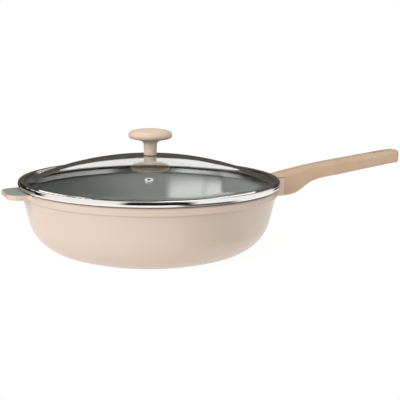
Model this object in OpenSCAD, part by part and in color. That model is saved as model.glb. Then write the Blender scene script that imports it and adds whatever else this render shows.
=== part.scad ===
// Covered saute pan: a cast bowl with a cast helper tab and handle lug, a moulded
// handle screwed to the lug, and a domed glass lid in a rolled steel rim.
// The frame stands on the table at the centre of the base, handle along +X, +Z up.

/* [Bowl] */
// Outer radius of the lip
rim_r = 149; // [130:0.5:180]
// Height of the lip above the table
pan_h = 75.5; // [68:0.5:100]
// Height of the lip band
lip_h = 8.5; // [6:0.1:11]
// How far the lip stands out from the wall
lip_overhang = 2.6; // [2:0.1:5]
// Radial width of the lip's top
lip_w = 4.8; // [4:0.1:7]
// Rounding of the lip's top edge
lip_edge_r = 2.5; // [1:0.1:3]
// Rounding of the lip's lower edge
lip_low_r = 1.5; // [0.5:0.1:2.5]
// Depth of the step that the lid's skirt stands in
seat_depth = 7.5; // [5:0.1:9]
// Lean of the wall from upright, in degrees
wall_angle = 12.9; // [6:0.1:16]
// Thickness of the wall
wall_t = 3.6; // [2.6:0.1:5]
// Radius of the round corner between wall and base, outside
corner_r = 47.5; // [40:0.1:58]
// Angle at which that corner meets the flat base, in degrees
base_edge_angle = 18.5; // [10:0.1:35]
// Radius of the round corner between wall and floor, inside
cavity_r = 42; // [30:0.5:46]
// Thickness of the floor above the flat base
floor_t = 4.4; // [3.4:0.1:7]

/* [Base plate and coating] */
// Bare edge of the casting round the steel base plate
plate_margin = 9.5; // [1:0.1:20]
// How far the plate stands out below the casting
plate_drop = 3; // [1:0.1:4]
// How deep the plate is set into the casting
plate_set = 0.8; // [0.4:0.1:1.5]
// Distance between the round grooves in the plate
groove_pitch = 14; // [10:0.5:20]
// Width of one groove
groove_w = 2; // [1:0.1:3]
// Depth of one groove
groove_depth = 0.4; // [0.2:0.1:0.8]
// Thickness of the nonstick coating
coat_t = 0.25; // [0.15:0.05:0.25]

/* [Helper tab] */
// Length of the tab, from the lip to its tip
tab_len = 20.5; // [14:0.5:40]
// Width of the tab
tab_w = 54; // [40:0.5:70]
// Thickness of the tab
tab_t = 5.5; // [4:0.1:8]
// Radius of the tab's corners
tab_corner_r = 16; // [6:0.1:20]
// Radius of the fillets that spread the tab into the lip
tab_fillet_r = 8; // [4:0.5:12]
// Rounding of the edge of the tab's tip
tab_edge_r = 2.2; // [0.5:0.1:2.6]
// Bare edge left round the coated top of the tab
tab_margin = 1.2; // [0.6:0.1:2]

/* [Handle] */
// Length of the cast lug, from the lip to the seam
lug_len = 22.5; // [18:0.5:32]
// Length of the handle, from the seam to the tip
handle_len = 171; // [130:0.5:220]
// Width of the handle
handle_w = 26; // [22:0.5:32]
// Rise of the handle's tip above the lip
handle_rise = 28; // [18:0.5:40]
// Depth of the grip
grip_t = 18; // [14:0.5:21]
// Depth of the lug at the seam, below the lip
lug_h = 22.9; // [21:0.1:28]
// How far the arched top falls to its shoulders
crown_sag = 6; // [3:0.1:8]
// Radius of the handle's lower corners
handle_low_r = 5; // [3:0.1:7]
// Rounding of the handle's tip, seen from above
tip_r = 6; // [4:0.1:9]
// Radius of the fillets between lug and wall
lug_fillet_r = 8; // [4:0.5:12]
// Slope of the lug's underside towards the wall
lug_slope = 0.07; // [0:0.01:0.2]
// Open joint between the cast lug and the moulded handle
seam_gap = 0.35; // [0.3:0.05:0.6]
// Gap between the lid's rim and the shelf of the handle
shelf_gap = 2.2; // [1:0.1:4]
// Length of the hanging slot
slot_len = 27; // [14:0.5:28]
// Width of the hanging slot
slot_w = 9; // [6:0.1:11]
// Distance from the handle's tip to the middle of the slot
slot_in = 24; // [22:0.5:32]

/* [Handle fixing] */
// Length of the cast tongue inside the handle
tongue_len = 20; // [17:0.5:21]
// Width of the tongue
tongue_w = 13; // [11:0.5:16]
// Height of the tongue
tongue_h = 9.5; // [6:0.5:10]
// Depth of the tongue's top below the lip
tongue_drop = 2.5; // [1:0.1:3]
// Distance from the seam to the screw
screw_in = 11.5; // [9:0.5:13]
// Radius of the handle screw's shank
screw_r = 2.5; // [2:0.1:3]
// Radius of the handle screw's head
screw_head_r = 4.5; // [3.8:0.1:4.9]
// Height of the handle screw's head
screw_head_h = 3; // [2:0.1:3.2]
// Outer radius of the spring washer
lock_r = 4.3; // [3.6:0.1:4.8]
// Thickness of the spring washer
lock_t = 1.1; // [0.8:0.1:1.4]
// Height of the screw's seat above the underside of the lug
screw_depth = 7.1; // [6:0.1:8]

/* [Lid rim] */
// How far the lid stands out past the pan's lip
lid_overhang = 2; // [0:0.1:4]
// Height of the rim band
band_h = 6.95; // [6.6:0.05:9]
// Thickness of the rolled sheet
sheet_t = 0.8; // [0.5:0.1:1]
// Rounding of the rim's top edge
band_top_r = 2.4; // [1.5:0.1:2.6]
// Rounding of the rim's lower edge
band_low_r = 3; // [1.5:0.1:3.2]
// Width of the rim's top flange
flange_w = 7; // [5:0.1:10]
// Height of the skirt's hem above the step in the pan
skirt_lift = 1; // [0.6:0.1:3]
// Lean of the skirt towards the lid's axis, in degrees
skirt_lean = 12; // [0:0.5:20]
// Radius of the hem at the foot of the skirt
hem_r = 0.6; // [0.5:0.05:0.7]

/* [Lid glass] */
// Thickness of the glass
glass_t = 4; // [3:0.1:4.5]
// Height of the dome above its brim
dome_h = 27.2; // [16:0.1:37]
// Width of the brim inside the steel flange
brim_w = 6.9; // [3:0.1:9]
// Radius of the blend between dome and brim
blend_r = 30; // [15:1:40]
// Gap between the edge of the glass and the rim
edge_gap = 0.4; // [0.3:0.05:0.6]

/* [Steam vent] */
// Distance of the vent from the lid's axis
vent_in = 98; // [70:1:110]
// Direction of the vent, in degrees from the handle
vent_turn = -111; // [-180:1:180]
// Radius of the vent's hole
vent_r = 1.75; // [1:0.05:2.2]
// Radius of the eyelet's neck
eyelet_neck_r = 3; // [2.6:0.1:3.6]
// Radius of the eyelet's flange
eyelet_r = 4.6; // [4:0.1:6]
// Radius of the eyelet's lip under the glass
eyelet_low_r = 3.9; // [3.7:0.1:6]
// Thickness of the eyelet's flanges
eyelet_t = 0.7; // [0.4:0.1:1]

/* [Knob] */
// Radius of the knob's head
knob_r = 25.2; // [20:0.1:30]
// Height of the knob
knob_h = 30.3; // [28:0.1:38]
// Radius of the knob's domed top
knob_dome_r = 90; // [60:1:150]
// Rounding of the head's upper edge
knob_top_r = 5.5; // [4:0.1:7]
// Rounding of the head's lower edge
knob_low_r = 3.8; // [2.5:0.1:5]
// Slope of the head's underside, in degrees
knob_under_angle = 12.4; // [5:0.1:15]
// Radius of the stem at its foot
stem_r = 7.4; // [6.8:0.1:9]
// Radius of the hollow curve of the stem
stem_curve_r = 150; // [34:1:200]
// Radius of the fillet between stem and head
stem_fillet_r = 5; // [1:0.1:5.5]

/* [Knob fixing] */
// Radius of the gasket under the knob
gasket_r = 7.6; // [7:0.1:9.5]
// Thickness of the gasket under the knob
gasket_t = 0.6; // [0.5:0.1:1.5]
// Depth of the gasket's collar in the glass
collar_h = 2.8; // [1.5:0.1:3]
// Radius of the hole in the glass
glass_hole_r = 3.2; // [3:0.1:4]
// Radius of the threaded insert
insert_r = 4; // [3.4:0.1:5]
// Length of the threaded insert
insert_len = 12; // [8:0.5:15]
// Radius of the knob screw's shank
bolt_r = 2; // [1.6:0.1:2.2]
// Radius of the knob screw's head
bolt_head_r = 3.9; // [3.2:0.1:4.2]
// Height of the knob screw's head
bolt_head_h = 1.7; // [1.2:0.1:1.8]
// Length of the knob screw's thread inside the insert
bolt_grip = 9; // [5:0.5:12]
// Radius of the cup under the glass
cup_r = 5.8; // [5.4:0.1:8]
// Height of the cup under the glass
cup_h = 2.9; // [2.8:0.1:4.5]
// Thickness of the cup's web
cup_web = 1; // [0.8:0.1:1]
// Radius of the washer between cup and glass
washer_r = 6.2; // [5.4:0.1:8]
// Thickness of the washer between cup and glass
washer_t = 0.5; // [0.3:0.1:1]

/* [Fits] */
// Gap between the lid and the pan all round
lid_gap = 0.3; // [0.2:0.05:0.6]
// Radial gap round screws, inserts and the vent
fit_gap = 0.05; // [0.02:0.01:0.1]
// Gap between the tongue and its socket
slip_gap = 0.2; // [0.1:0.05:0.3]
// Gap round a sunk screw head
head_gap = 0.3; // [0.2:0.05:0.5]

/* [Hidden] */
fine = 144;
small = 48;
dome_steps = 720;
// Extra length that a cut runs past the solid it cuts
over = 1;

// Bowl, outside: the wall line, and the corner circle that touches it
lean = tan(wall_angle);
tilt = cos(wall_angle);
lip_z = pan_h - lip_h;
wall_top_r = rim_r - lip_overhang;
function wall_out(z) = wall_top_r - (lip_z - z) * lean;
corner_z = plate_drop + corner_r * cos(base_edge_angle);
corner_x = wall_out(corner_z) - corner_r / tilt;
base_edge_r = corner_x + corner_r * sin(base_edge_angle);
plate_r = base_edge_r - plate_margin;
tab_reach = rim_r + tab_len;
touch_z = corner_z - corner_r * sin(wall_angle);
function body_out(z) =
    z > touch_z ? wall_out(z) : corner_x + sqrt(corner_r * corner_r - (z - corner_z) * (z - corner_z));

// Bowl, inside: the same wall moved in by its thickness, the floor, and the step for the lid
floor_z = plate_drop + floor_t;
seat_r = rim_r - lip_w;
seat_z = pan_h - seat_depth;
cavity_z = floor_z + cavity_r;
cavity_x = wall_out(cavity_z) - (wall_t + cavity_r) / tilt;
function ledge_z(t) =
    (wall_top_r - (wall_t + t) / tilt - lip_z * lean - seat_r + seat_z + t * sqrt(2)) / (1 - lean);

// Lid: heights of the rim and of the glass
lid_r = rim_r + lid_overhang;
lid_z = pan_h + coat_t + lid_gap;
lid_top = lid_z + band_h;
flange_r = lid_r - flange_w;
skirt_r = seat_r - coat_t - lid_gap - hem_r + sheet_t / 2;
skirt_z = seat_z + skirt_lift + hem_r;
brim_z = lid_top - sheet_t;
glass_r = lid_r - sheet_t - edge_gap;
foot_r = flange_r - brim_w;
dome_r = (foot_r * foot_r + dome_h * dome_h) / (2 * dome_h);
dome_top = brim_z + dome_h;
dome_z = dome_top - dome_r;
vent_angle = asin(vent_in / dome_r);
// Centre of the circle that blends the dome into the brim
blend_z = brim_z + blend_r;
blend_x = sqrt((dome_r + blend_r) * (dome_r + blend_r) - (blend_z - dome_z) * (blend_z - dome_z));

// Handle: places along X from the seam, heights from the lip
seam_x = rim_r + lug_len;
tip_x = seam_x + handle_len;
slot_x = tip_x - slot_in;
screw_x = seam_x + screw_in;
tongue_top = pan_h - tongue_drop;
tongue_z = tongue_top - tongue_h;
shelf_r = lid_r + shelf_gap;
// Roundness of the arched top and of the lug's flat top
arch_power = 2.4;
flat_power = 6;
lug_sag_share = 0.25;
// Each row: place along the handle, rise of the crown, fall of the heel from grip to lug, width
handle_shares = [
    [-0.14, 0.08, 1.17, 1],
    [-0.05, 0.16, 1.05, 1],
    [0, 0.218, 1, 1],
    [0.05, 0.275, 0.94, 1],
    [0.1, 0.328, 0.82, 0.99],
    [0.15, 0.382, 0.54, 0.97],
    [0.2, 0.436, 0.26, 0.955],
    [0.25, 0.486, 0.1, 0.95],
    [0.33, 0.554, 0.035, 0.95],
    [0.45, 0.643, 0.03, 0.965],
    [0.65, 0.782, -0.005, 0.99],
    [0.85, 0.92, -0.025, 1],
    [1 - tip_r / handle_len, 0.99, -0.04, 0.99]
];
seam_row = handle_shares[2];
handle_cuts = 3;
tip_cuts = 5;
arch_cuts = 16;
corner_cuts = 5;
lug_cuts = 14;

// Knob: the domed top, the two edge circles and the sloping underside
knob_z = dome_top + gasket_t;
knob_top = knob_z + knob_h;
knob_x = knob_r - knob_top_r;
knob_mid_z = knob_top - knob_dome_r + sqrt(pow(knob_dome_r - knob_top_r, 2) - knob_x * knob_x);
knob_touch = [knob_x, knob_mid_z - knob_top + knob_dome_r] * knob_dome_r / (knob_dome_r - knob_top_r);
under_dir = [-cos(knob_under_angle), -sin(knob_under_angle)];
under_out = [sin(knob_under_angle), -cos(knob_under_angle)];
under_start = [knob_r - knob_low_r, knob_mid_z] + knob_low_r * under_out;
curve_centre = [stem_r + stem_curve_r, knob_z];
// Walk along the underside to where a fillet also touches the hollow curve of the stem
fillet_from = under_start + stem_fillet_r * under_out - curve_centre;
fillet_half = fillet_from * under_dir;
fillet_reach = pow(stem_curve_r - stem_fillet_r, 2) - fillet_from * fillet_from;
fillet_walk = sqrt(fillet_half * fillet_half + fillet_reach) - fillet_half;
fillet_centre = curve_centre + fillet_from + fillet_walk * under_dir;
fillet_high = fillet_centre - stem_fillet_r * under_out;
fillet_low = curve_centre
    + (fillet_centre - curve_centre) * stem_curve_r / (stem_curve_r - stem_fillet_r);

// Knob fixing, from the glass down
glass_low = dome_top - glass_t;
// The flat washer meets the hollow underside of the dome at its outer edge
washer_top = dome_z + sqrt(pow(dome_r - glass_t, 2) - washer_r * washer_r);
cup_top = washer_top - washer_t;
cup_z = cup_top - cup_h;
bolt_seat_z = cup_top - cup_web;
bolt_top = knob_z + bolt_grip;

cream = [0.87, 0.77, 0.70];
sand = [0.80, 0.69, 0.58];
steel = [0.75, 0.75, 0.76];
grey = [0.50, 0.51, 0.50];
dark = [0.16, 0.15, 0.14];
brass = [0.75, 0.62, 0.35];

// Section of a ring with two rounded outer corners
module ring_2d(r0, r1, z0, z1, low_r, top_r) {
    translate([r0, z0]) square([r1 - low_r - r0, low_r]);
    translate([r0, z0 + low_r]) square([r1 - r0, z1 - z0 - low_r - top_r]);
    translate([r0, z1 - top_r]) square([r1 - top_r - r0, top_r]);
    translate([r1 - low_r, z0 + low_r]) circle(r = low_r, $fn = small);
    translate([r1 - top_r, z1 - top_r]) circle(r = top_r, $fn = small);
}

module washer_disc(r_out, r_in, h) {
    difference() {
        cylinder(r = r_out, h = h, $fn = small);
        translate([0, 0, -over]) cylinder(r = r_in, h = h + 2 * over, $fn = small);
    }
}

// Recess for a cross driver, sunk into the face at z = 0 and reaching up
module cross_recess(span, depth) {
    for (turn = [0, 90])
        rotate([0, 0, turn]) translate([-span / 2, -span / 8, -over]) cube([span, span / 4, depth + over]);
}

// Catmull-Rom curve through the rows of a table, t counts the rows
function row(table, i) = table[max(0, min(len(table) - 1, i))];
function curve(table, t, i) =
    let (u = t - i, a = row(table, i - 1), b = row(table, i), c = row(table, i + 1), d = row(table, i + 2))
    b + (c - a) * u / 2 + (2 * a - 5 * b + 4 * c - d) * u * u / 2 + (3 * b - a - 3 * c + d) * u * u * u / 2;
function curve_at(table, t) = curve(table, t, min(len(table) - 2, floor(t)));

// Section of a bar at x: an arched top, upright sides and two round lower corners
function bar_ring(x, half_w, top_z, sag, power, low_z, low_r) = [
    for (i = [0:arch_cuts])
        let (a = 180 * i / arch_cuts, c = cos(a))
        [x, half_w * sign(c) * pow(abs(c), 2 / power), top_z - sag + sag * pow(sin(a), 2 / power)],
    for (i = [0:corner_cuts])
        let (a = 180 + 90 * i / corner_cuts)
        [x, low_r - half_w + low_r * cos(a), low_z + low_r + low_r * sin(a)],
    for (i = [0:corner_cuts])
        let (a = 270 + 90 * i / corner_cuts)
        [x, half_w - low_r + low_r * cos(a), low_z + low_r + low_r * sin(a)]
];

// Skin through a row of sections, closed at both ends
module loft(rings) {
    n = len(rings[0]);
    last = (len(rings) - 1) * n;
    polyhedron(
        points = [for (r = rings) each r],
        faces = [
            [for (k = [0:n - 1]) k],
            [for (k = [n - 1:-1:0]) last + k],
            for (j = [0:len(rings) - 2]) for (k = [0:n - 1]) [j * n + k, (j + 1) * n + k, (j + 1) * n + (k + 1) % n],
            for (j = [0:len(rings) - 2]) for (k = [0:n - 1]) [j * n + k, (j + 1) * n + (k + 1) % n, j * n + (k + 1) % n]
        ]
    );
}

// The tip rounds less in height than in plan
tip_top_share = 0.15;
tip_low_share = 0.15;

// One section of the handle from its row of shares, drawn in by the rounding of the tip
function handle_crown_z(s) = pan_h + handle_rise * s[1];
function handle_low_z(s) = (handle_crown_z(s) - grip_t) * (1 - s[2]) + (pan_h - lug_h) * s[2];
function handle_ring(s, x, inset) =
    let (left_share = 1 - inset / tip_r / 2)
    bar_ring(
        x, handle_w / 2 * s[3] - inset, handle_crown_z(s) - inset * tip_top_share, crown_sag * left_share,
        arch_power, handle_low_z(s) + inset * tip_low_share, handle_low_r * left_share
    );
handle_last = len(handle_shares) - 1;
handle_rings = concat(
    [
        for (i = [0:handle_last * handle_cuts])
            let (s = curve_at(handle_shares, i / handle_cuts))
            handle_ring(s, seam_x + handle_len * s[0], 0)
    ],
    [
        for (i = [1:tip_cuts])
            let (a = 90 * i / tip_cuts, s = handle_shares[handle_last])
            handle_ring(s, tip_x - tip_r + tip_r * sin(a), tip_r * (1 - cos(a)))
    ]
);

// The lug meets the handle's section at the seam and spreads into the wall
seam_low_z = handle_low_z(seam_row);
screw_seat_z = seam_low_z + screw_depth;
lug_low_x = body_out(seam_low_z - lug_fillet_r);
lug_side_x = sqrt(pow(body_out(seam_low_z), 2) - pow(handle_w / 2 + lug_fillet_r, 2));
lug_start_x = lug_low_x - wall_t / 2;
lug_spread_x = max(lug_low_x, lug_side_x) + lug_fillet_r;
function spread(d) =
    let (e = max(0, min(lug_fillet_r, d)))
    lug_fillet_r - sqrt(lug_fillet_r * lug_fillet_r - e * e);
function lug_ring(x) = bar_ring(
    x, handle_w / 2 + spread(lug_side_x + lug_fillet_r - x), pan_h, handle_low_r * lug_sag_share, flat_power,
    seam_low_z - lug_slope * (seam_x - x) - spread(lug_low_x + lug_fillet_r - x), handle_low_r
);
lug_rings = concat(
    [for (i = [0:lug_cuts]) lug_ring(lug_start_x + (lug_spread_x - lug_start_x) * i / lug_cuts)],
    [lug_ring(seam_x)]
);

// Outside of the bowl, filled to the axis
module body_2d() {
    polygon([
        [0, plate_drop], [base_edge_r, plate_drop],
        [corner_x + corner_r * tilt, touch_z], [wall_top_r, lip_z], [0, lip_z]
    ]);
    intersection() {
        translate([corner_x, corner_z]) circle(r = corner_r, $fn = fine);
        translate([0, plate_drop]) square([rim_r, lip_z - plate_drop]);
    }
    ring_2d(0, rim_r, lip_z, pan_h, lip_low_r, lip_edge_r);
}

// Hollow of the bowl drawn in by t, up to a given height
module cavity_2d(t, top) {
    polygon([
        [0, floor_z + t], [cavity_x, floor_z + t],
        [cavity_x + (cavity_r - t) * tilt, cavity_z - (cavity_r - t) * sin(wall_angle)],
        [seat_r - seat_z + ledge_z(t) - t * sqrt(2), ledge_z(t)],
        [seat_r - t, seat_z + t * (sqrt(2) - 1)], [seat_r - t, top], [0, top]
    ]);
    intersection() {
        translate([cavity_x, cavity_z]) circle(r = cavity_r - t, $fn = fine);
        translate([0, floor_z + t]) square([rim_r, ledge_z(t) - floor_z - t]);
    }
}

// Plan of the helper tab, drawn in by m, with fillets that touch the lip's circle
module tab_2d(m) {
    half = tab_w / 2 - m;
    ring_r = rim_r - m;
    fillet_r = tab_fillet_r + m;
    fillet_x = sqrt(pow(ring_r + fillet_r, 2) - pow(half + fillet_r, 2));
    touch_share = ring_r / (ring_r + fillet_r);
    corner = tab_corner_r - m;
    reach = tab_reach - m;
    translate([-reach, corner - half]) square([reach - seat_r, 2 * (half - corner)]);
    translate([corner - reach, -half]) square([reach - corner - seat_r, 2 * half]);
    for (side = [-1, 1]) {
        translate([corner - reach, side * (half - corner)]) circle(r = corner, $fn = small);
        difference() {
            polygon([
                [-fillet_x, 0], [-fillet_x, side * half],
                [-fillet_x * touch_share, side * (half + fillet_r) * touch_share],
                [-seat_r * touch_share, 0]
            ]);
            translate([-fillet_x, side * (half + fillet_r)]) circle(r = fillet_r, $fn = fine);
        }
    }
}

module helper_tab() {
    intersection() {
        translate([0, 0, pan_h - tab_t]) linear_extrude(height = tab_t) tab_2d(0);
        rotate([90, 0, 180]) linear_extrude(height = 2 * rim_r, center = true)
            ring_2d(0, tab_reach, pan_h - tab_t, pan_h, tab_edge_r, tab_edge_r / 2);
    }
}

module tongue() {
    translate([seam_x - over, -tongue_w / 2, tongue_z]) cube([tongue_len + over, tongue_w, tongue_h]);
}

// Casting: bowl, lip, helper tab, lug and tongue in one piece
module pan_body() {
    color(cream) difference() {
        union() {
            rotate_extrude($fn = fine) body_2d();
            helper_tab();
            loft(lug_rings);
            tongue();
        }
        rotate_extrude($fn = fine) cavity_2d(0, pan_h + over);
        translate([0, 0, plate_drop - over])
            cylinder(r = plate_r + fit_gap, h = plate_set + over, $fn = fine);
        translate([screw_x, 0, tongue_z - over])
            cylinder(r = screw_r + fit_gap, h = tongue_h + 2 * over, $fn = small);
    }
}

// Skin on the inside, on the lip's top and on the top of the tab
module nonstick_coating() {
    color(grey) {
        rotate_extrude($fn = fine) {
            difference() {
                cavity_2d(0, pan_h);
                cavity_2d(coat_t, pan_h + over);
            }
            translate([seat_r - coat_t, pan_h]) square([lip_w - lip_edge_r + coat_t, coat_t]);
        }
        translate([0, 0, pan_h]) linear_extrude(height = coat_t) difference() {
            tab_2d(tab_margin);
            circle(r = seat_r, $fn = fine);
        }
    }
}

// Steel plate for induction hobs, with round grooves in its underside
module induction_plate() {
    groove_count = floor((plate_r - groove_pitch) / groove_pitch);
    color(steel) difference() {
        cylinder(r = plate_r, h = plate_drop + plate_set, $fn = fine);
        for (i = [1:groove_count])
            translate([0, 0, -over]) difference() {
                cylinder(r = groove_pitch * i + groove_w / 2, h = groove_depth + over, $fn = fine);
                translate([0, 0, -over])
                    cylinder(r = groove_pitch * i - groove_w / 2, h = groove_depth + 3 * over, $fn = fine);
            }
    }
}

// Moulded handle: the lofted bar, open over the lug and round the lid, with socket, screw hole and slot
module handle() {
    color(sand) difference() {
        loft(handle_rings);
        translate([seam_x + seam_gap - tip_x, -handle_w, -over])
            cube([tip_x, 2 * handle_w, pan_h + seam_gap + over]);
        cylinder(r = shelf_r, h = 2 * pan_h, $fn = fine);
        translate([seam_x - over, -tongue_w / 2 - slip_gap, tongue_z - slip_gap])
            cube([tongue_len + slip_gap + over, tongue_w + 2 * slip_gap, tongue_h + 2 * slip_gap]);
        translate([screw_x, 0, screw_seat_z - over])
            cylinder(r = screw_r + fit_gap, h = tongue_z - screw_seat_z + over, $fn = small);
        translate([screw_x, 0, 0]) cylinder(r = screw_head_r + head_gap, h = screw_seat_z, $fn = small);
        slot_cut();
    }
}

module slot_cut() {
    straight = slot_len - slot_w;
    for (end = [-1, 1])
        translate([slot_x + end * straight / 2, 0, 0]) cylinder(r = slot_w / 2, h = 2 * pan_h, $fn = small);
    translate([slot_x - straight / 2, -slot_w / 2, 0]) cube([straight, slot_w, 2 * pan_h]);
}

module handle_screw() {
    head_top = screw_seat_z - lock_t;
    color(steel) translate([screw_x, 0, head_top - screw_head_h]) difference() {
        union() {
            cylinder(r = screw_head_r, h = screw_head_h, $fn = small);
            cylinder(r = screw_r, h = tongue_top - screw_r / 2 - head_top + screw_head_h, $fn = small);
        }
        cross_recess(screw_head_r, screw_head_h / 2);
    }
}

// Split spring washer between the screw head and the handle
module handle_lock_washer() {
    color(steel) translate([screw_x, 0, screw_seat_z - lock_t]) difference() {
        washer_disc(lock_r, screw_r + fit_gap, lock_t);
        translate([0, -lock_t / 4, -over]) cube([2 * lock_r, lock_t / 2, lock_t + 2 * over]);
    }
}

// Everything under the upper face of the glass, or of its lower face when t is the thickness
module under_dome_2d(t) {
    blend = blend_r + t;
    touch_x = blend_x * (dome_r - t) / (dome_r + blend_r);
    touch_z = dome_z + (blend_z - dome_z) * (dome_r - t) / (dome_r + blend_r);
    low = brim_z - 2 * glass_t - t;
    intersection() {
        translate([0, dome_z]) circle(r = dome_r - t, $fn = dome_steps);
        translate([0, low]) square([touch_x, dome_r]);
    }
    difference() {
        translate([touch_x - over, low]) square([blend_x - touch_x + over + t, touch_z - low]);
        translate([blend_x, blend_z]) circle(r = blend, $fn = dome_steps);
    }
}

// Domed glass with a flat brim and a rounded edge
module lid_glass() {
    edge = glass_t / 2;
    color([0.72, 0.78, 0.76, 0.35]) difference() {
        rotate_extrude($fn = fine) {
            difference() {
                under_dome_2d(0);
                under_dome_2d(glass_t);
            }
            translate([blend_x - over / 2, brim_z - glass_t]) square([glass_r - edge - blend_x + over / 2, glass_t]);
            translate([glass_r - edge, brim_z - edge]) circle(r = edge, $fn = small);
        }
        translate([0, 0, glass_low - over])
            cylinder(r = glass_hole_r, h = glass_t + 2 * over, $fn = small);
        on_dome() translate([0, 0, -glass_t - over])
            cylinder(r = eyelet_neck_r + fit_gap, h = glass_t + 2 * over, $fn = small);
    }
}

// Frame on the dome's upper face at the vent, +Z square to the glass
module on_dome() {
    rotate([0, 0, vent_turn]) translate([0, 0, dome_z]) rotate([0, vent_angle, 0]) translate([0, 0, dome_r])
        children();
}

// Rolled rim: band with flange over the glass, web on the lip and skirt inside the pan
module lid_rim() {
    color(steel) rotate_extrude($fn = fine) {
        difference() {
            ring_2d(skirt_r, lid_r, lid_z, lid_top, band_low_r, band_top_r);
            ring_2d(0, lid_r - sheet_t, lid_z + sheet_t, brim_z, band_low_r - sheet_t, band_top_r - sheet_t);
            translate([0, lid_z + sheet_t]) square([flange_r, band_h]);
        }
        translate([skirt_r, lid_z]) {
            intersection() {
                circle(r = sheet_t, $fn = small);
                translate([-sheet_t, 0]) square(sheet_t);
            }
            rotate(-skirt_lean) {
                translate([-sheet_t, skirt_z - lid_z]) square([sheet_t, lid_z - skirt_z]);
                translate([-sheet_t / 2, skirt_z - lid_z]) circle(r = hem_r, $fn = small);
            }
        }
    }
}

// Steel eyelet that lines the vent
module vent_eyelet() {
    color(steel) on_dome() difference() {
        union() {
            cylinder(r = eyelet_r, h = eyelet_t, $fn = small);
            translate([0, 0, -glass_t - fit_gap]) cylinder(r = eyelet_neck_r, h = glass_t + 2 * fit_gap, $fn = small);
            translate([0, 0, -glass_t - fit_gap - eyelet_t]) cylinder(r = eyelet_low_r, h = eyelet_t, $fn = small);
        }
        translate([0, 0, -glass_t - eyelet_t - over])
            cylinder(r = vent_r, h = glass_t + 2 * eyelet_t + 2 * over, $fn = small);
    }
}

// Half section of the knob: domed head, sloping underside and hollow-curved stem
module knob_2d() {
    intersection() {
        translate([0, knob_top - knob_dome_r]) circle(r = knob_dome_r, $fn = dome_steps);
        polygon([
            [0, knob_mid_z], [knob_x, knob_mid_z],
            [knob_touch[0], knob_touch[1] + knob_top - knob_dome_r],
            [knob_touch[0], knob_top + over], [0, knob_top + over]
        ]);
    }
    intersection() {
        translate([knob_x, knob_mid_z]) circle(r = knob_top_r, $fn = fine);
        translate([0, knob_mid_z]) square([knob_r, knob_h]);
    }
    intersection() {
        translate([knob_r - knob_low_r, knob_mid_z]) circle(r = knob_low_r, $fn = fine);
        translate([0, knob_z]) square([knob_r, knob_mid_z - knob_z]);
    }
    polygon([
        [0, fillet_high[1]], fillet_high, under_start, [knob_r - knob_low_r, knob_mid_z], [0, knob_mid_z]
    ]);
    difference() {
        polygon([[0, knob_z], [stem_r, knob_z], fillet_low, [0, fillet_low[1]]]);
        translate(curve_centre) circle(r = stem_curve_r, $fn = dome_steps);
    }
    difference() {
        polygon([[0, fillet_low[1]], fillet_low, fillet_high, [0, fillet_high[1]]]);
        translate(fillet_centre) circle(r = stem_fillet_r, $fn = small);
    }
}

module knob() {
    color(sand) difference() {
        rotate_extrude($fn = fine) knob_2d();
        translate([0, 0, knob_z - over]) cylinder(r = insert_r + fit_gap, h = insert_len + over, $fn = small);
        translate([0, 0, knob_z]) cylinder(r = bolt_r + head_gap, h = insert_len + bolt_r, $fn = small);
    }
}

// Threaded brass insert moulded into the stem
module knob_insert() {
    color(brass) translate([0, 0, knob_z]) washer_disc(insert_r, bolt_r + fit_gap, insert_len);
}

// Gasket under the stem, with a collar that lines the hole in the glass
module knob_gasket() {
    color(dark) translate([0, 0, dome_top]) difference() {
        union() {
            cylinder(r = gasket_r, h = gasket_t, $fn = small);
            translate([0, 0, -collar_h]) cylinder(r = glass_hole_r - fit_gap, h = collar_h + gasket_t, $fn = small);
        }
        translate([0, 0, -collar_h - over])
            cylinder(r = bolt_r + fit_gap, h = collar_h + gasket_t + 2 * over, $fn = small);
    }
}

// Cup under the glass that takes the screw head
module knob_cup() {
    edge = (cup_r - bolt_head_r - head_gap) / 2;
    color(sand) rotate_extrude($fn = small) difference() {
        translate([0, cup_top]) mirror([0, 1, 0]) ring_2d(0, cup_r, 0, cup_h, edge / 4, edge);
        translate([0, cup_z - over]) square([bolt_head_r + head_gap, cup_h - cup_web + over]);
        translate([0, cup_z]) square([bolt_r + fit_gap, cup_h + over]);
    }
}

module knob_washer() {
    color(dark) translate([0, 0, cup_top]) washer_disc(washer_r, bolt_r + fit_gap, washer_t);
}

module knob_screw() {
    color(steel) translate([0, 0, bolt_seat_z - bolt_head_h]) difference() {
        union() {
            cylinder(r = bolt_head_r, h = bolt_head_h, $fn = small);
            cylinder(r = bolt_r, h = bolt_top - bolt_seat_z + bolt_head_h, $fn = small);
        }
        cross_recess(bolt_head_r, bolt_head_h / 2);
    }
}

pan_body();
nonstick_coating();
induction_plate();
handle();
handle_screw();
handle_lock_washer();
lid_glass();
lid_rim();
vent_eyelet();
knob();
knob_insert();
knob_gasket();
knob_cup();
knob_washer();
knob_screw();
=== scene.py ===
import math

import bmesh
import bpy
from mathutils import Matrix, Vector


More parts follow.
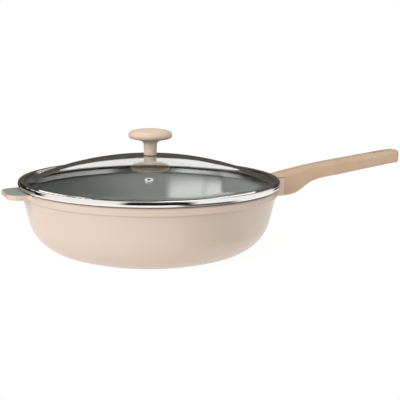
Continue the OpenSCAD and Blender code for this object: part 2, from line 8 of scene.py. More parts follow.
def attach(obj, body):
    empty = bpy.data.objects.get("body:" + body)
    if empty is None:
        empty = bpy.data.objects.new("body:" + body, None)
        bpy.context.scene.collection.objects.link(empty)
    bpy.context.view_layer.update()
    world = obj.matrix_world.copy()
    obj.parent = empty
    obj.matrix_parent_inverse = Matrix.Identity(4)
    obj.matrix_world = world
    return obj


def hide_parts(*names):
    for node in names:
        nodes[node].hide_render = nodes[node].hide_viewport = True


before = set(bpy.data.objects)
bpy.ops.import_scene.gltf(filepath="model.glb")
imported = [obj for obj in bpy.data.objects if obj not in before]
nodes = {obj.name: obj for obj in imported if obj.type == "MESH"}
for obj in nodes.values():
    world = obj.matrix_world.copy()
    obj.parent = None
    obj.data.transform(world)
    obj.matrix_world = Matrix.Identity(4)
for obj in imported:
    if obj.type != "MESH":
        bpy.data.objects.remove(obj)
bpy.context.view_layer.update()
scene = bpy.context.scene
mm = 0.001
white = (1, 1, 1, 1)
print("frame loaded:", len(nodes), "nodes")


# a socket that can be added and multiplied like a number
class Value:
    def __init__(self, graph, socket):
        self.graph = graph
        self.socket = socket

    def combine(self, operation, first, second=None):
        inputs = {0: first} if second is None else {0: first, 1: second}
        return self.graph.add("ShaderNodeMath", {"operation": operation}, inputs)

    def __add__(self, other): return self.combine("ADD", self, other)
    def __radd__(self, other): return self.combine("ADD", other, self)
    def __sub__(self, other): return self.combine("SUBTRACT", self, other)
    def __rsub__(self, other): return self.combine("SUBTRACT", other, self)
    def __mul__(self, other): return self.combine("MULTIPLY", self, other)
    def __rmul__(self, other): return self.combine("MULTIPLY", other, self)
    def __pow__(self, other): return self.combine("POWER", self, other)
    def __abs__(self): return self.combine("ABSOLUTE", self)


class Graph:
    def __init__(self, tree):
        self.tree = tree
        tree.nodes.clear()

    def add(self, kind, settings=None, inputs=None, out=0):
        node = self.tree.nodes.new(kind)
        for name, value in (settings or {}).items():
            setattr(node, name, value)
        for name, value in (inputs or {}).items():
            if isinstance(value, Value):
                self.tree.links.new(value.socket, node.inputs[name])
            else:
                node.inputs[name].default_value = value
        if node.outputs:
            return Value(self, node.outputs[out])

    def larger(self, first, second):
        return self.add("ShaderNodeMath", {"operation": "MAXIMUM"}, {0: first, 1: second})

    def ease(self, value, low, high):  # 0 below low, 1 above high, smooth between them
        return self.add("ShaderNodeMapRange", {"interpolation_type": "SMOOTHSTEP"},
                        {"Value": value, "From Min": low, "From Max": high})

    def field(self, value, start, full, fade, end):  # 1 from full to fade, 0 before start and after end
        return self.ease(value, start, full) * (1 - self.ease(value, fade, end))

    def blend(self, factor, first, second):  # mix of two colours
        return self.add("ShaderNodeMix", {"data_type": "RGBA"}, {0: factor, 6: first, 7: second}, 2)

    def noise(self, vector, scale, detail=2.0, roughness=0.5):
        return self.add("ShaderNodeTexNoise", None,
                        {"Vector": vector, "Scale": scale, "Detail": detail, "Roughness": roughness})

    def bump(self, height, strength, distance):
        return self.add("ShaderNodeBump", None, {"Height": height, "Strength": strength, "Distance": distance})

    def place(self):  # Object coordinates, in metres
        return self.add("ShaderNodeTexCoord", None, None, "Object")

    def xyz(self, vector):
        x = self.add("ShaderNodeSeparateXYZ", None, {0: vector})
        return [Value(self, output) for output in x.socket.node.outputs]

    def join(self, x, y, z):
        return self.add("ShaderNodeCombineXYZ", None, {0: x, 1: y, 2: z})

    def ringed(self, vector):  # distance from the pan's axis, and height
        x, y, z = self.xyz(vector)
        return (x * x + y * y) ** 0.5, z

    def turnedLines(self, radius, height, grain):  # fine lines that run round the pan's axis
        return self.noise(self.join(radius, height, 0.0), *grain)

    def ray(self, name):  # 1 on rays of the named kind, or a count of their bounces
        return self.add("ShaderNodeLightPath", None, None, name)

    def bounced(self, name):  # 0 before the first bounce that is counted, 1 from it on
        return self.ease(self.ray(name), 0.2, 0.8)


def linear(red, green, blue):  # a colour as it is read off a screen, 0 to 255
    def part(value):
        value /= 255
        return value / 12.92 if value <= 0.04045 else ((value + 0.055) / 1.055) ** 2.4
    return (part(red), part(green), part(blue), 1)


def newMaterial(name):
    material = bpy.data.materials.new(name)
    material.use_nodes = True
    return material, Graph(material.node_tree)


def principled(graph, inputs):
    return graph.add("ShaderNodeBsdfPrincipled", None, inputs)


def closeMaterial(graph, shader):
    graph.add("ShaderNodeOutputMaterial", None, {"Surface": shader})


def dress(nodeName, material):
    mesh = nodes[nodeName].data
    for index in range(len(mesh.materials)):
        mesh.materials[index] = material
    if not mesh.materials:
        mesh.materials.append(material)


# camera, at the photograph's viewing angle; front points level from the object to the camera's side
view = {"place": (-0.3362, -0.9149, 0.2393), "right": (0.9164, -0.4003, 0.0), "front": (-0.4003, -0.9164, 0.0),
        "ahead": (0.3935, 0.9007, -0.1840), "up": (0.0736, 0.1686, 0.9829), "roll": 0.012, "lens": 76.23,
        "sensor": 36, "clipStart": 0.02}
right, front, ahead, up = (Vector(view[key]) for key in ("right", "front", "ahead", "up"))
camera = bpy.data.objects.new("camera", bpy.data.cameras.new("camera"))
scene.collection.objects.link(camera)
cameraX = right * math.cos(view["roll"]) + up * math.sin(view["roll"])
cameraY = up * math.cos(view["roll"]) - right * math.sin(view["roll"])
turn = Matrix((cameraX, cameraY, -ahead)).transposed()
camera.matrix_world = Matrix.Translation(view["place"]) @ turn.to_4x4()
camera.data.sensor_width = view["sensor"]
camera.data.lens = view["lens"]
camera.data.clip_start = view["clipStart"]
scene.camera = camera


def besideFront(graph, x, y):  # how far to the right of the front: as a length, and as a turn in degrees
    toRight = x * right.x + y * right.y
    toFront = x * front.x + y * front.y
    turned = graph.add("ShaderNodeMath", {"operation": "ARCTAN2"}, {0: toRight, 1: toFront})
    return toRight, turned * math.degrees(1)


# plain pale floor, white to the camera, with a soft shadow; in the gloss a dark field lies on it, to the right
floorLook = {"radius": 0.42, "steps": 128, "drop": 0.2 * mm, "lit": 0.1, "glow": 1.05, "bounce": 0.45,
             "tone": (0.9, 0.9, 0.9, 1), "darkTone": (0.006, 0.0055, 0.005, 1),
             "darkTurn": (17, 27, 56, 70), "darkFrom": (0.15, 0.164)}
floorForm = bmesh.new()
bmesh.ops.create_circle(floorForm, cap_ends=True, segments=floorLook["steps"], radius=floorLook["radius"])
bmesh.ops.translate(floorForm, verts=floorForm.verts, vec=(0, 0, -floorLook["drop"]))
floorMesh = bpy.data.meshes.new("floor")
floorForm.to_mesh(floorMesh)
floorForm.free()
floor = bpy.data.objects.new("floor", floorMesh)
scene.collection.objects.link(floor)
floorMaterial, graph = newMaterial("paleFloor")
isGlossy = graph.ray("Is Glossy Ray")
seenWhite = graph.larger(graph.larger(graph.ray("Is Camera Ray"), isGlossy), graph.ray("Is Transmission Ray"))
floorX, floorY = graph.xyz(graph.place())[:2]
floorTurn = besideFront(graph, floorX, floorY)[1]
floorRadius = graph.ringed(graph.place())[0]
darkField = (isGlossy * graph.field(floorTurn, *floorLook["darkTurn"])
             * graph.ease(floorRadius, *floorLook["darkFrom"]))
litFloor = graph.add("ShaderNodeBsdfDiffuse", None, {"Color": floorLook["tone"]})
whiteFloor = graph.add("ShaderNodeEmission", None, {
    "Color": graph.blend(darkField, white, floorLook["darkTone"]), "Strength": floorLook["glow"]})
whiteShare = floorLook["bounce"] + seenWhite * (1 - floorLook["lit"] - floorLook["bounce"])
closeMaterial(graph, graph.add("ShaderNodeMixShader", None, {0: whiteShare, 1: litFloor, 2: whiteFloor}))
floorMesh.materials.append(floorMaterial)

# studio: even light all round, with dark gaps and bright fields for the gloss, all in degrees:
# Lift is over the horizon, and Turn is from the front, positive to the right;
# two numbers say where something starts and is full, and two more where it fades and ends
studio = {
    "ambient": 0.54, "underGlass": 0.65, "fromLeft": 0.5, "side": 0.95, "top": 0.5, "topLift": (60, 80),
    "dark": 0.012, "darkTint": (1, 0.9, 0.78, 1), "tintLift": (12, 24),
    "frontTurn": (-26, -14, 34, 46), "frontLift": (55, 75), "leftTurn": (92, 104), "leftLift": (30, 40),
    "behindTurn": (132, 146), "behindLift": (62, 74),
    "edge": 0.085, "edgeLift": (-6.9, -5.4, 9.5, 11.5), "skirt": 0.17, "skirtLift": (12, 13.5, 17.5, 19),
    "bright": 1.1, "brightTurn": (-64, -56, -30, -22), "brightLift": (14, 20, 34, 42)}
# a window behind the left, brighter upwards, with one upright bar; Lean is how much a line leans with the lift
window = {"bright": 2.15, "nearEdge": (180.2, 181.4), "nearLean": 0.43, "farEdge": (182.6, 186.0), "farLean": 0.148,
          "foot": (26, 49), "footTurn": 172.5, "footLean": 0.9,
          "bar": 180.2, "barLean": 0.3, "barHalf": (0, 1.4), "barLight": 0.7}
# the dim room on both sides of the window
room = {"lift": (14, 24), "right": 0.3, "rightTurn": (115, 135), "rightEdge": (179.5, 181),
        "left": 0.2, "leftTurn": (158, 172), "leftLift": (29, 38)}
world = bpy.data.worlds.new("studio")
scene.world = world
world.use_nodes = True
graph = Graph(world.node_tree)
wayX, wayY, wayZ = graph.xyz(graph.add("ShaderNodeTexCoord", None, None, "Generated"))
side, around = besideFront(graph, wayX, wayY)
lift = graph.add("ShaderNodeMath", {"operation": "ARCSINE"}, {0: wayZ}) * math.degrees(1)
turned = abs(around)

frontGap = graph.field(around, *studio["frontTurn"]) * (1 - graph.ease(lift, *studio["frontLift"]))
leftGap = graph.ease(around * -1.0, *studio["leftTurn"]) * (1 - graph.ease(lift, *studio["leftLift"]))
behind = graph.ease(turned, *studio["behindTurn"])
darkness = graph.larger(graph.larger(behind * (1 - graph.ease(lift, *studio["behindLift"])), frontGap), leftGap)

leaning = around + lift * window["nearLean"]
foot = lift - (around - window["footTurn"]) * window["footLean"]
bar = graph.ease(abs(around + lift * window["barLean"] - window["bar"]), *window["barHalf"])
windowPane = (graph.ease(leaning, *window["nearEdge"])
              * (1 - graph.ease(around + lift * window["farLean"], *window["farEdge"]))
              * graph.ease(foot, *window["foot"]) * (window["barLight"] + bar * (1 - window["barLight"])))
roomRight = graph.ease(around, *room["rightTurn"]) * (1 - graph.ease(leaning, *room["rightEdge"]))
roomLeft = graph.ease(turned, *room["leftTurn"]) * (1 - roomRight) * graph.ease(lift, *room["leftLift"])
dimRoom = graph.ease(lift, *room["lift"]) * (roomRight * room["right"] + roomLeft * room["left"])

edgeStrip = behind * graph.field(lift, *studio["edgeLift"])  # the grazed edge of the dome shows it
skirtStrip = frontGap * graph.field(lift, *studio["skirtLift"])  # the lid's skirt mirrors it through the dome
isCamera, isThrough = graph.ray("Is Camera Ray"), graph.ray("Is Transmission Ray")
# a bright field on the left, which the far skirt mirrors through the dome
brightField = isThrough * graph.field(around, *studio["brightTurn"]) * graph.field(lift, *studio["brightLift"])
overhead = graph.ease(lift, *studio["topLift"])
evenLight = studio["side"] * (1 - overhead) + studio["top"] * overhead
dimLight = studio["dark"] + edgeStrip * studio["edge"] + skirtStrip * studio["skirt"] + dimRoom
glossLight = (evenLight * (1 - darkness) + dimLight * darkness
              + windowPane * window["bright"] + brightField * studio["bright"])

direct = isThrough * (1 - graph.bounced("Diffuse Depth"))
mirrored = graph.bounced("Glossy Depth")  # light that a mirror or the glass has turned on its way
inGloss = graph.larger(graph.ray("Is Glossy Ray"), direct * mirrored)
seenThrough = direct * (1 - mirrored)
shade = studio["ambient"] * (1 - isThrough) + studio["underGlass"] * (1 - side * studio["fromLeft"]) * isThrough
other = inGloss * glossLight + (1 - inGloss) * shade
strength = isCamera + (1 - isCamera) * (seenThrough + (1 - seenThrough) * other)
tinted = inGloss * darkness * (1 - graph.ease(lift, *studio["tintLift"]))
background = graph.add("ShaderNodeBackground", None, {
    "Color": graph.blend(tinted, white, studio["darkTint"]), "Strength": strength})
graph.add("ShaderNodeOutputWorld", None, {"Surface": background})

# a white arch close behind the object that only its gloss and its glass show, in millimetres;
# each row is a place to the right of the axis, a low and a high edge
card = {"behind": 300, "glow": 1.17, "rows": [
    (-188, 146, 153), (-176, 148, 182), (-166, 151, 194), (-143, 163, 221), (-131, 169, 231), (-105, 180, 251),
    (-94, 184, 254), (-62, 189, 263), (-17, 188, 268), (27, 181, 267), (66, 165, 250), (80, 162, 243),
    (103, 158, 221), (115, 148, 207), (127, 137, 187), (137, 133, 169), (143, 130, 150)]}


def addCard(name):
    form = bmesh.new()
    last = len(card["rows"]) - 1
    grid = bmesh.ops.create_grid(form, x_segments=last, y_segments=1, size=1)["verts"]
    for vertex in grid:
        place, low, high = card["rows"][round((vertex.co.x + 1) / 2 * last)]
        height = high if vertex.co.y > 0 else low
        vertex.co = (right * place - front * card["behind"] + Vector((0, 0, height))) * mm
    mesh = bpy.data.meshes.new(name)
    form.to_mesh(mesh)
    form.free()
    material, graph = newMaterial(name)
    closeMaterial(graph, graph.add("ShaderNodeEmission", None, {"Color": white, "Strength": card["glow"]}))
    mesh.materials.append(material)
    thing = bpy.data.objects.new(name, mesh)
    scene.collection.objects.link(thing)
    for ray in ("camera", "diffuse", "volume_scatter", "shadow"):
        setattr(thing, f"visible_{ray}", False)


addCard("archCard")

# soft round lamps: name, place, size and power; gloss and glass don't show them
lamps = {"target": (0, 0, 0.05), "rows": [
    ("keyLamp", (-1.7, -0.9, 1.0), 1.3, 27), ("fillLamp", (1.5, -1.3, 0.5), 1.2, 3),
    ("topLamp", (0.1, -0.2, 1.9), 1.4, 5)]}
for name, place, size, power in lamps["rows"]:
    lamp = bpy.data.lights.new(name, "AREA")
    lamp.shape = "DISK"
    lamp.size = size
    lamp.energy = power
    thing = bpy.data.objects.new(name, lamp)
    scene.collection.objects.link(thing)
    aim = Vector(lamps["target"]) - Vector(place)
    thing.matrix_world = Matrix.Translation(place) @ aim.to_track_quat("-Z", "Y").to_matrix().to_4x4()
    thing.visible_glossy = False
    thing.visible_transmission = False
    thing.visible_camera = False
print("camera, floor and studio ready")

# finishes: a noise is a scale, a detail and a roughness, a bump is a strength and a depth,
# two lengths or an Edge say where something starts and is full, and a Play is how much the roughness varies
enamel = {"light": linear(214, 194, 178), "deep": linear(213, 193, 176), "roughness": 0.27, "mottle": (9, 1),
          "mottlePlay": 0.02, "peel": (900, 2), "bump": (0.04, 0.01 * mm), "specular": 0.45}
creamEnamel, graph = newMaterial("creamEnamel")
place = graph.place()
mottle = graph.noise(place, *enamel["mottle"])
closeMaterial(graph, principled(graph, {
    "Base Color": graph.blend(mottle, enamel["deep"], enamel["light"]),
    "Roughness": enamel["roughness"] + (mottle - 0.5) * enamel["mottlePlay"],
    "Specular IOR Level": enamel["specular"],
    "Normal": graph.bump(graph.noise(place, *enamel["peel"]), *enamel["bump"])}))

coating = {"ground": linear(158, 158, 153), "fleck": linear(194, 195, 190), "pit": linear(124, 125, 121),
           "grains": (1500, 2, 0.6), "fleckEdge": (0.60, 0.68), "fleckShare": 0.45, "pitEdge": (0.30, 0.38),
           "pitShare": 0.4, "roughness": 0.46, "cloud": (18, 3), "cloudPlay": 0.15, "fleckPlay": 0.08,
           "bump": (0.2, 0.06 * mm)}
greyCoating, graph = newMaterial("greyCoating")
place = graph.place()
grains = graph.noise(place, *coating["grains"])
cloud = graph.noise(place, *coating["cloud"])
flecks = graph.ease(grains, *coating["fleckEdge"])
pits = 1 - graph.ease(grains, *coating["pitEdge"])
tone = graph.blend(flecks * coating["fleckShare"], coating["ground"], coating["fleck"])
closeMaterial(graph, principled(graph, {
    "Base Color": graph.blend(pits * coating["pitShare"], tone, coating["pit"]),
    "Roughness": coating["roughness"] + (cloud - 0.5) * coating["cloudPlay"] - flecks * coating["fleckPlay"],
    "Normal": graph.bump(grains, *coating["bump"])}))

plate = {"tone": linear(217, 206, 198), "bright": linear(225, 215, 207), "lines": (5200, 2), "lineEdge": (0.3, 0.7),
         "metallic": 0.4, "roughness": 0.4, "linePlay": 0.2, "bump": (0.25, 0.03 * mm)}
plateSteel, graph = newMaterial("plateSteel")
lines = graph.turnedLines(*graph.ringed(graph.place()), plate["lines"])
closeMaterial(graph, principled(graph, {
    "Base Color": graph.blend(graph.ease(lines, *plate["lineEdge"]), plate["tone"], plate["bright"]),
    "Metallic": plate["metallic"],
    "Roughness": plate["roughness"] + (lines - 0.5) * plate["linePlay"],
    "Normal": graph.bump(lines, *plate["bump"])}))

resin = {"grip": (linear(206, 178, 151), linear(200, 171, 143)),
         "knob": (linear(230, 207, 185), linear(224, 200, 176)),
         "cloud": (30, 3), "cloudEdge": (0.35, 0.65), "grain": (2600, 2, 0.6), "roughness": 0.5, "cloudPlay": 0.1,
         "grainPlay": 0.12, "specular": 0.4, "bump": (0.18, 0.05 * mm)}


def resinFinish(name, light, deep):
    material, graph = newMaterial(name)
    place = graph.place()
    cloud = graph.noise(place, *resin["cloud"])
    grain = graph.noise(place, *resin["grain"])
    closeMaterial(graph, principled(graph, {
        "Base Color": graph.blend(graph.ease(cloud, *resin["cloudEdge"]), deep, light),
        "Roughness": resin["roughness"] + (cloud - 0.5) * resin["cloudPlay"] + (grain - 0.5) * resin["grainPlay"],
        "Specular IOR Level": resin["specular"],
        "Normal": graph.bump(grain, *resin["bump"])}))
    return material


gripResin = resinFinish("gripResin", *resin["grip"])
knobResin = resinFinish("knobResin", *resin["knob"])

rim = {"tone": linear(243, 241, 237), "shadeTone": linear(58, 52, 44), "lines": (3800, 3, 0.6),
       "jointRadius": (144.6 * mm, 144.9 * mm), "jointFloor": (75.4 * mm, 75.7 * mm),
       "jointRoof": (81.2 * mm, 81.4 * mm), "footRadius": (148 * mm, 148.2 * mm), "footTop": (76.6 * mm, 76.85 * mm),
       "skirtRadius": (146 * mm, 146.2 * mm), "skirtTop": (75.1 * mm, 75.4 * mm),
       "roughness": 0.035, "linePlay": 0.05, "shadeDull": 0.4, "skirtDull": 0.16, "shadeMetal": 0.6,
       "bump": (0.05, 0.004 * mm)}
rimSteel, graph = newMaterial("rimSteel")
radius, height = graph.ringed(graph.place())
lines = graph.turnedLines(radius, height, rim["lines"])
# painted shade: the inside of the rolled joint, under the glass, is darkened and dulled where the crevice lies in
# shade
jointShade = ((1 - graph.ease(radius, *rim["jointRadius"])) * graph.ease(height, *rim["jointFloor"])
         * (1 - graph.ease(height, *rim["jointRoof"])))
# the rounded foot of the band is in the shade of the step under it
foot = graph.ease(radius, *rim["footRadius"]) * (1 - graph.ease(height, *rim["footTop"]))
shaded = graph.larger(jointShade, foot)
# the skirt is less polished than the band
skirt = (1 - graph.ease(radius, *rim["skirtRadius"])) * (1 - graph.ease(height, *rim["skirtTop"]))
closeMaterial(graph, principled(graph, {
    "Base Color": graph.blend(shaded, rim["tone"], rim["shadeTone"]),
    "Metallic": 1.0 - shaded * rim["shadeMetal"],
    "Roughness": rim["roughness"] + lines * rim["linePlay"] + shaded * rim["shadeDull"] + skirt * rim["skirtDull"],
    "Normal": graph.bump(lines, *rim["bump"])}))

glass = {"tone": (0.965, 0.985, 0.975, 1), "shadowTone": (0.93, 0.95, 0.94, 1), "ior": 1.5}
lidGlass, graph = newMaterial("clearGlass")
clear = principled(graph, {
    "Base Color": glass["tone"],
    "Roughness": 0.0,
    "IOR": glass["ior"],
    "Transmission Weight": 1.0})
openGlass = graph.add("ShaderNodeBsdfTransparent", None, {"Color": glass["shadowTone"]})
closeMaterial(graph, graph.add("ShaderNodeMixShader", None, {0: graph.ray("Is Shadow Ray"), 1: clear, 2: openGlass}))

vent = {"domeMiddle": (0, 0, -249.72 * mm), "way": (-0.09779, -0.25476, 0.96205), "bore": (1.77 * mm, 1.92 * mm),
        "steel": linear(240, 239, 236), "dark": linear(60, 56, 52), "haze": (900, 3), "metallic": 0.35,
        "roughness": 0.3, "hazePlay": 0.15, "bump": (0.1, 0.01 * mm)}
satinSteel, graph = newMaterial("satinSteel")
place = graph.place()
haze = graph.noise(place, *vent["haze"])
# distance from the middle line of the vent, to darken its bore with painted shade, as the inside of the hole lies in
# shade
fromDome = graph.add("ShaderNodeVectorMath", {"operation": "SUBTRACT"}, {0: place, 1: vent["domeMiddle"]})
across = graph.add("ShaderNodeVectorMath", {"operation": "CROSS_PRODUCT"}, {0: fromDome, 1: vent["way"]})
offLine = graph.add("ShaderNodeVectorMath", {"operation": "LENGTH"}, {0: across}, 1)
closeMaterial(graph, principled(graph, {
    "Base Color": graph.blend(graph.ease(offLine, *vent["bore"]), vent["dark"], vent["steel"]),
    "Metallic": vent["metallic"],
    "Roughness": vent["roughness"] + haze * vent["hazePlay"],
    "Normal": graph.bump(haze, *vent["bump"])}))

fastener = {"tone": linear(190, 188, 184), "cloud": (400, 3), "roughness": 0.24, "cloudPlay": 0.2,
            "bump": (0.1, 0.02 * mm)}
fastenerSteel, graph = newMaterial("fastenerSteel")
cloud = graph.noise(graph.place(), *fastener["cloud"])
closeMaterial(graph, principled(graph, {
    "Base Color": fastener["tone"],
    "Metallic": 1.0,
    "Roughness": fastener["roughness"] + cloud * fastener["cloudPlay"],
    "Normal": graph.bump(cloud, *fastener["bump"])}))

brass = {"tone": linear(214, 176, 110), "lines": (5000, 2), "roughness": 0.22, "linePlay": 0.15,
         "bump": (0.15, 0.01 * mm)}
turnedBrass, graph = newMaterial("turnedBrass")
lines = graph.turnedLines(*graph.ringed(graph.place()), brass["lines"])
closeMaterial(graph, principled(graph, {
    "Base Color": brass["tone"],
    "Metallic": 1.0,
    "Roughness": brass["roughness"] + lines * brass["linePlay"],
    "Normal": graph.bump(lines, *brass["bump"])}))

silicone = {"deep": linear(112, 101, 90), "light": linear(124, 112, 100), "cloud": (700, 3), "roughness": 0.5,
            "cloudPlay": 0.2, "bump": (0.15, 0.03 * mm)}
brownSilicone, graph = newMaterial("brownSilicone")
cloud = graph.noise(graph.place(), *silicone["cloud"])
closeMaterial(graph, principled(graph, {
    "Base Color": graph.blend(cloud, silicone["deep"], silicone["light"]),
    "Roughness": silicone["roughness"] + (cloud - 0.5) * silicone["cloudPlay"],
    "Normal": graph.bump(cloud, *silicone["bump"])}))

for nodeName, material in {
        "pan_body": creamEnamel, "nonstick_coating": greyCoating, "induction_plate": plateSteel,
        "handle": gripResin, "handle_screw": fastenerSteel, "handle_lock_washer": fastenerSteel,
        "lid_glass": lidGlass, "lid_rim": rimSteel, "vent_eyelet": satinSteel, "knob": knobResin,
        "knob_insert": turnedBrass, "knob_gasket": brownSilicone, "knob_cup": knobResin,
        "knob_washer": brownSilicone, "knob_screw": fastenerSteel}.items():
    dress(nodeName, material)
print("finishes ready")

# handle: a bar drawn through its sections, cut for the lug, the lid's rim, the screw and the hook
handle = {
    "seam": 171.5 * mm, "length": 171 * mm, "halfWidth": 13 * mm, "lip": 75.5 * mm, "rise": 28 * mm,
    "grip": 18 * mm, "lugDepth": 22.9 * mm, "sag": 6 * mm, "arch": 2.4, "cornerRadius": 5 * mm, "tipRadius": 6 * mm,
    "tipTopShare": 0.15, "tipLowShare": 0.15,
    # place along the handle, rise of the crown, fall of the heel, width
    "rows": [(-0.14, 0.08, 1.17, 1), (-0.05, 0.16, 1.05, 1), (0, 0.218, 1, 1), (0.05, 0.275, 0.94, 1),
             (0.1, 0.328, 0.82, 0.99), (0.15, 0.382, 0.54, 0.97), (0.2, 0.436, 0.26, 0.955), (0.25, 0.486, 0.1, 0.95),
             (0.33, 0.554, 0.035, 0.95), (0.45, 0.643, 0.03, 0.965), (0.65, 0.782, -0.005, 0.99),
             (0.85, 0.92, -0.025, 1), (0.9649, 0.99, -0.04, 0.99)],
    "stepsPerRow": 8, "archSteps": 40, "cornerSteps": 8, "tipSteps": 8,
    "seamGap": 0.35 * mm, "lugCutStart": 100 * mm, "lugCutHalf": 30 * mm, "shelfRadius": 153.2 * mm,
    "shelfCutTop": 150 * mm, "shelfSteps": 360, "tongueReach": 191.6 * mm, "tongueHalf": 6.6 * mm,
    "tongueLow": 63.4 * mm, "tongueHigh": 73.1 * mm, "tongueCutBack": 5 * mm,
    "slotLength": 27 * mm, "slotWidth": 9 * mm, "slotIn": 24 * mm, "slotCutLow": 60 * mm, "slotCutHigh": 130 * mm,
    "slotSteps": 14, "slotEndShare": 0.9999,
    "screwPlace": 183 * mm, "screwSeat": 59.75 * mm, "headRadius": 4.75 * mm, "headCutLow": 30 * mm,
    "shankRadius": 2.55 * mm, "shankCutOver": 1 * mm, "screwSteps": 48,
    "softEdge": 0.35 * mm, "softSteps": 3, "softAngle": 50, "smoothAngle": 40}


def rowAt(rows, place):  # smooth curve through the rows, place counts them
    index = min(int(place), len(rows) - 2)
    t = place - index
    a, b, c, d = (rows[max(0, min(len(rows) - 1, index + k))] for k in (-1, 0, 1, 2))
    return [q + (r - p) * t / 2 + (2 * p - 5 * q + 4 * r - s) * t * t / 2 + (3 * q - p - 3 * r + s) * t ** 3 / 2
            for p, q, r, s in zip(a, b, c, d)]


def barSection(x, halfWidth, top, sag, power, low, corner, archSteps, cornerSteps):
    points = []
    for step in range(archSteps + 1):
        angle = math.pi * step / archSteps
        across = math.cos(angle)
        points.append((x, halfWidth * math.copysign(abs(across) ** (2 / power), across),
                       top - sag + sag * abs(math.sin(angle)) ** (2 / power)))
    for middle, start in ((corner - halfWidth, math.pi), (halfWidth - corner, 1.5 * math.pi)):
        for step in range(cornerSteps + 1):
            angle = start + math.pi / 2 * step / cornerSteps
            points.append((x, middle + corner * math.cos(angle), low + corner + corner * math.sin(angle)))
    return points


def drawThrough(sections):  # a closed skin, one ring of vertices pulled from section to section
    form = bmesh.new()
    ring = bmesh.ops.create_circle(form, segments=len(sections[0]))["verts"]
    for vertex, point in zip(ring, sections[0]):
        vertex.co = point
    first = list(form.edges)
    edges = first
    for section in sections[1:]:
        order = {vertex: index for index, vertex in enumerate(ring)}
        pulled = bmesh.ops.extrude_edge_only(form, edges=edges)["geom"]
        edges = [part for part in pulled if isinstance(part, bmesh.types.BMEdge)]
        ring = [None] * len(section)
        for vertex in (part for part in pulled if isinstance(part, bmesh.types.BMVert)):
            index = next(order[edge.other_vert(vertex)] for edge in vertex.link_edges
                         if edge.other_vert(vertex) in order)
            ring[index] = vertex
        for vertex, point in zip(ring, section):
            vertex.co = point
    bmesh.ops.holes_fill(form, edges=first + edges, sides=0)
    bmesh.ops.recalc_face_normals(form, faces=form.faces)
    return form


def keep(form, name):  # bmesh to an object in the scene
    mesh = bpy.data.meshes.new(name)
    form.to_mesh(mesh)
    form.free()
    thing = bpy.data.objects.new(name, mesh)
    scene.collection.objects.link(thing)
    return thing


def block(low, high):
    form = bmesh.new()
    bmesh.ops.create_cube(form, size=1)
    size = Vector(high) - Vector(low)
    bmesh.ops.scale(form, vec=size, verts=form.verts)
    bmesh.ops.translate(form, vec=(Vector(low) + Vector(high)) / 2, verts=form.verts)
    return form


def rod(place, radius, low, high, segments):
    form = bmesh.new()
    bmesh.ops.create_cone(form, cap_ends=True, segments=segments, radius1=radius, radius2=radius, depth=high - low)
    bmesh.ops.translate(form, vec=(*place, (low + high) / 2), verts=form.verts)
    return form


def carve(thing, cutters):  # takes the cutters out of thing
    tools = []
    for index, form in enumerate(cutters):
        tool = keep(form, f"cutter{index}")
        tools.append(tool)
        cut = thing.modifiers.new(tool.name, "BOOLEAN")
        cut.object = tool
        cut.operation = "DIFFERENCE"
        cut.solver = "EXACT"
    settle(thing)
    for tool in tools:
        bpy.data.objects.remove(tool)


def settle(thing):  # applies the modifiers
    seen = thing.evaluated_get(bpy.context.evaluated_depsgraph_get())
    mesh = bpy.data.meshes.new_from_object(seen)
    thing.modifiers.clear()
    thing.data = mesh


def smoothOver(thing, angle):
    for face in thing.data.polygons:
        face.use_smooth = True
    thing.data.set_sharp_from_angle(angle=math.radians(angle))


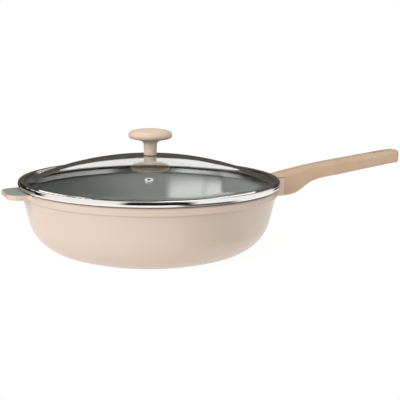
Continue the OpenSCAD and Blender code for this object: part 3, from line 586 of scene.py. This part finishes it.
def makeHandle(s):
    sections = []
    last = len(s["rows"]) - 1

    def section(row, x, inset):
        share = 1 - inset / s["tipRadius"] / 2
        crown = s["lip"] + s["rise"] * row[1]
        low = (crown - s["grip"]) * (1 - row[2]) + (s["lip"] - s["lugDepth"]) * row[2]
        return barSection(x, s["halfWidth"] * row[3] - inset, crown - inset * s["tipTopShare"], s["sag"] * share,
                          s["arch"], low + inset * s["tipLowShare"], s["cornerRadius"] * share,
                          s["archSteps"], s["cornerSteps"])

    for step in range(last * s["stepsPerRow"] + 1):
        row = rowAt(s["rows"], step / s["stepsPerRow"])
        sections.append(section(row, s["seam"] + s["length"] * row[0], 0))
    tip = s["seam"] + s["length"]
    for step in range(1, s["tipSteps"] + 1):
        angle = math.pi / 2 * step / s["tipSteps"]
        sections.append(section(s["rows"][last], tip - s["tipRadius"] * (1 - math.sin(angle)),
                                s["tipRadius"] * (1 - math.cos(angle))))
    bar = keep(drawThrough(sections), "handle_grip")

    slot = block((tip - s["slotIn"] - s["slotLength"] / 2, -s["slotWidth"] / 2, s["slotCutLow"]),
                 (tip - s["slotIn"] + s["slotLength"] / 2, s["slotWidth"] / 2, s["slotCutHigh"]))
    upright = [edge for edge in slot.edges if edge.verts[0].co.xy == edge.verts[1].co.xy]
    bmesh.ops.bevel(slot, geom=upright, offset=s["slotWidth"] / 2 * s["slotEndShare"], affect="EDGES",
                    segments=s["slotSteps"], profile=0.5, material=-1)
    screw = (s["screwPlace"], 0)
    carve(bar, [
        block((s["lugCutStart"], -s["lugCutHalf"], 0.0),
              (s["seam"] + s["seamGap"], s["lugCutHalf"], s["lip"] + s["seamGap"])),
        rod((0, 0), s["shelfRadius"], 0.0, s["shelfCutTop"], s["shelfSteps"]),
        block((s["seam"] - s["tongueCutBack"], -s["tongueHalf"], s["tongueLow"]),
              (s["tongueReach"], s["tongueHalf"], s["tongueHigh"])),
        rod(screw, s["shankRadius"], s["screwSeat"] - s["shankCutOver"], s["tongueLow"] + s["shankCutOver"],
            s["screwSteps"]),
        rod(screw, s["headRadius"], s["headCutLow"], s["screwSeat"], s["screwSteps"]),
        slot])
    soften = bar.modifiers.new("softEdges", "BEVEL")
    soften.width = s["softEdge"]
    soften.segments = s["softSteps"]
    soften.limit_method = "ANGLE"
    soften.angle_limit = math.radians(s["softAngle"])
    soften.use_clamp_overlap = False
    settle(bar)
    smoothOver(bar, s["smoothAngle"])
    bar.data.materials.clear()
    bar.data.materials.append(gripResin)
    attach(bar, "pan")
    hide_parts("handle")


makeHandle(handle)
print("handle ready")

scene.view_settings.view_transform = "Standard"
